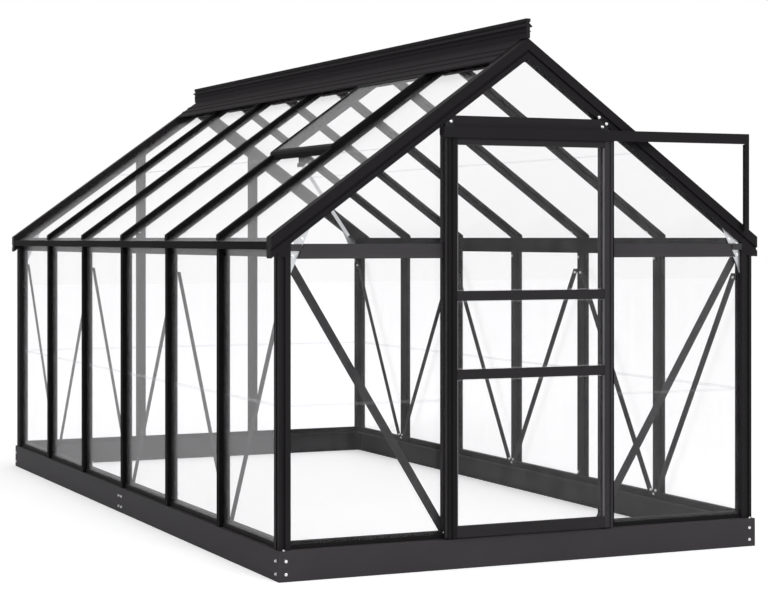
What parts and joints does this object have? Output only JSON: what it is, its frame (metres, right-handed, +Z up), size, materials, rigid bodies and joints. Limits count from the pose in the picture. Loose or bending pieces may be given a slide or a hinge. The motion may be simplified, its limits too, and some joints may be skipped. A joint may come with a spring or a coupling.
{
  "type": "glass greenhouse with a sliding door",
  "caption": "Freestanding apex-roofed glass greenhouse in dark coated metal on a low sheet base, with a sliding gable door on an outrigger track and a closed roof vent.",
  "frame": {"origin": "middle of the whole object's footprint, at the ground under the base", "axes": "+X to the right as one faces the door, +Y from the door gable towards the back gable, +Z up"},
  "size_m": [2.004, 3.782, 1.982],
  "materials": {
    "coated_frame": "satin powder coat",
    "coated_base": "matt powder coat",
    "glass": "clear horticultural glass",
    "bare_aluminium": "mill finish",
    "roller_plastic": "moulded"
  },
  "bodies": {
    "frame": {"base_front": "coated_base", "base_rear": "coated_base", "base_left": "coated_base", "base_right": "coated_base", "base_fixings": "coated_base", "sill_front": "coated_frame", "sill_rear": "coated_frame", "side_sills": "coated_frame", "corner_posts": "coated_frame", "left_wall_bars": "coated_frame", "right_wall_bars": "coated_frame", "rear_gable_bars": "coated_frame", "door_jambs": "coated_frame", "door_header": "coated_frame", "front_ties": "coated_frame", "eave_beam_left": "coated_frame", "eave_beam_right": "coated_frame", "ridge_beam": "coated_frame", "front_rafters": "coated_frame", "rear_rafters": "coated_frame", "left_roof_bars": "coated_frame", "right_roof_bars": "coated_frame", "corner_gussets": "bare_aluminium", "left_wall_braces": "coated_frame", "right_wall_braces": "coated_frame", "front_braces": "coated_frame", "door_track": "coated_frame", "track_strut": "coated_frame", "left_wall_glass": "glass", "right_wall_glass": "glass", "rear_gable_glass": "glass", "front_glass_left": "glass", "front_glass_right": "glass", "front_glass_top": "glass", "left_roof_glass": "glass", "right_roof_glass": "glass", "vent_frame": "coated_frame", "vent_glass": "glass", "vent_sill": "coated_frame", "vent_stay": "bare_aluminium"},
    "door": {"door_stiles": "coated_frame", "door_rails": "coated_frame", "door_glass": "glass", "door_hangers": "bare_aluminium", "door_rollers": "roller_plastic"}
  },
  "joints": [
    {"name": "door_slide", "type": "slide", "parent": "frame", "child": "door", "axis": [1, 0, 0], "range_m": [0, 0.565]}
  ]
}
